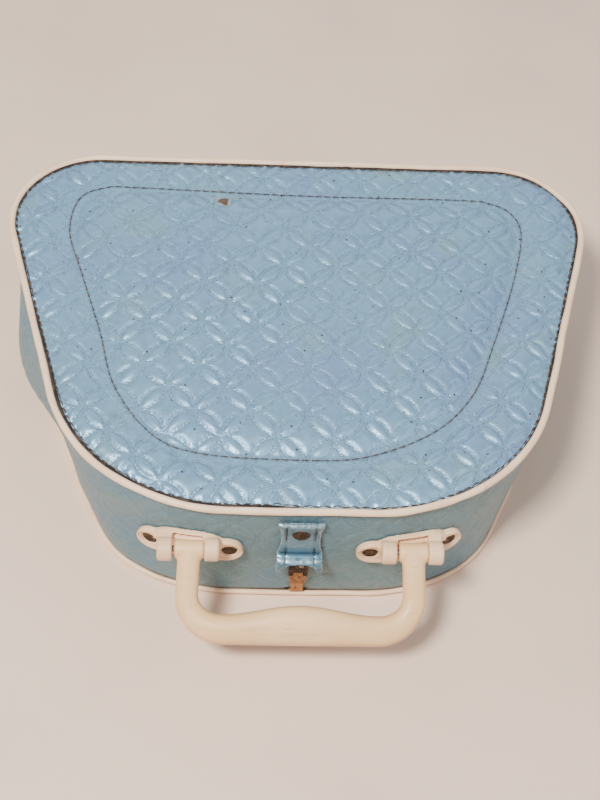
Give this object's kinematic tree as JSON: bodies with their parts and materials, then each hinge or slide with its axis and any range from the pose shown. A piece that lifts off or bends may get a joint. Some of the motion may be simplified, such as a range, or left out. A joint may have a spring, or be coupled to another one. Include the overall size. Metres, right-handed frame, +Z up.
{
  "type": "travel jewelry case",
  "caption": "Rounded trapezoid vinyl-covered case: flat base, deep padded shell hinged at the rear, moulded carry handle and riveted tab with a brass lock on the front wall.",
  "frame": {"origin": "centre of the base's flat underside, at the middle of the plan outline's depth and width", "axes": "+X to the right seen from the handle side, +Y from the handle side towards the rear hinge edge, +Z up"},
  "size_m": [0.2856, 0.2533, 0.071],
  "materials": {
    "top_vinyl": "embossed pearly pale blue vinyl, satin",
    "side_vinyl": "greyer teal blue embossed vinyl, satin",
    "tab_vinyl": "shiny metallic blue vinyl",
    "piping": "warm white vinyl piping, satin",
    "cream_plastic": "aged ivory moulded plastic, satin",
    "brass": "tarnished, rust-spotted brass",
    "steel": "plain steel pin",
    "board": "grey-brown fibreboard, matt",
    "foam": "aged open-cell foam",
    "lining": "off-white woven lining cloth"
  },
  "bodies": {
    "base": {"base_cover": "side_vinyl", "base_board": "board", "base_lining": "lining", "base_rim": "lining", "base_piping": "piping", "base_catch": "brass", "catch_rivet": "brass", "hinge_tape_base": "lining"},
    "shell": {"wall_board": "board", "wall_cover": "side_vinyl", "wall_lining": "lining", "hinge_tape_shell": "lining", "top_lining": "lining", "top_board": "board", "top_foam": "foam", "top_cover": "top_vinyl", "top_piping": "piping", "bracket_left": "cream_plastic", "bracket_right": "cream_plastic", "handle_pin_left": "steel", "handle_pin_right": "steel", "bracket_rivet_left_outer": "brass", "bracket_rivet_left_inner": "brass", "bracket_rivet_right_outer": "brass", "bracket_rivet_right_inner": "brass", "bracket_washer_left_outer": "brass", "bracket_washer_left_inner": "brass", "bracket_washer_right_outer": "brass", "bracket_washer_right_inner": "brass", "tab_rivet": "brass", "tab_washer": "brass", "tab_strap": "tab_vinyl"},
    "tab": {"tab_flap": "tab_vinyl", "lock_body": "brass", "tongue_pin": "brass"},
    "tongue": {"lock_tongue": "brass"},
    "handle": {"handle": "cream_plastic"}
  },
  "joints": [
    {"name": "shell_hinge", "type": "hinge", "parent": "base", "child": "shell", "pos_m": [0, 0.10625, 0.0039], "axis": [-1, 0, 0], "range_deg": [0, 88]},
    {"name": "handle_swing", "type": "hinge", "parent": "shell", "child": "handle", "pos_m": [0, -0.11245, 0.0493], "axis": [-1, 0, 0], "range_deg": [0, 125]},
    {"name": "tab_lift", "type": "hinge", "parent": "shell", "child": "tab", "pos_m": [0, -0.10845, 0.04715], "axis": [-1, 0, 0], "range_deg": [0, 30]},
    {"name": "tongue_swing", "type": "hinge", "parent": "tab", "child": "tongue", "pos_m": [0, -0.10915, 0.0246], "axis": [-1, 0, 0], "range_deg": [0, 45]}
  ]
}
